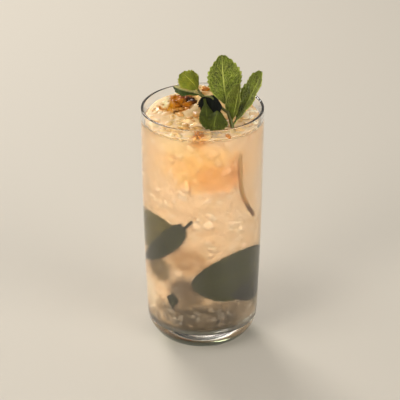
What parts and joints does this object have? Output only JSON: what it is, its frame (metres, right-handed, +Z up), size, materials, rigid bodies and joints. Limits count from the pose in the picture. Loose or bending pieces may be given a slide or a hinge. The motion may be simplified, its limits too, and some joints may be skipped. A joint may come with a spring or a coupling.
{
  "type": "iced mint long drink",
  "caption": "Tall straight highball glass filled with a pale iced drink, topped with crushed ice, an amber-soaked lump of ice and a leaning mint sprig.",
  "frame": {"origin": "centre of the glass's foot, on the table", "axes": "+Z up along the glass; the front, where the mint leans over the rim, faces -Y, and +X is to the right seen from the front"},
  "size_m": [0.07, 0.07, 0.1756],
  "materials": {
    "clear_glass": "polished clear",
    "iced_drink": null,
    "crushed_ice": null,
    "amber_ice": "wet ice soaked with amber syrup",
    "mint": null
  },
  "bodies": {
    "root": {"glass": "clear_glass", "drink": "iced_drink", "ice_heap": "crushed_ice", "amber_ice": "amber_ice", "mint_sprig": "mint"}
  },
  "joints": []
}
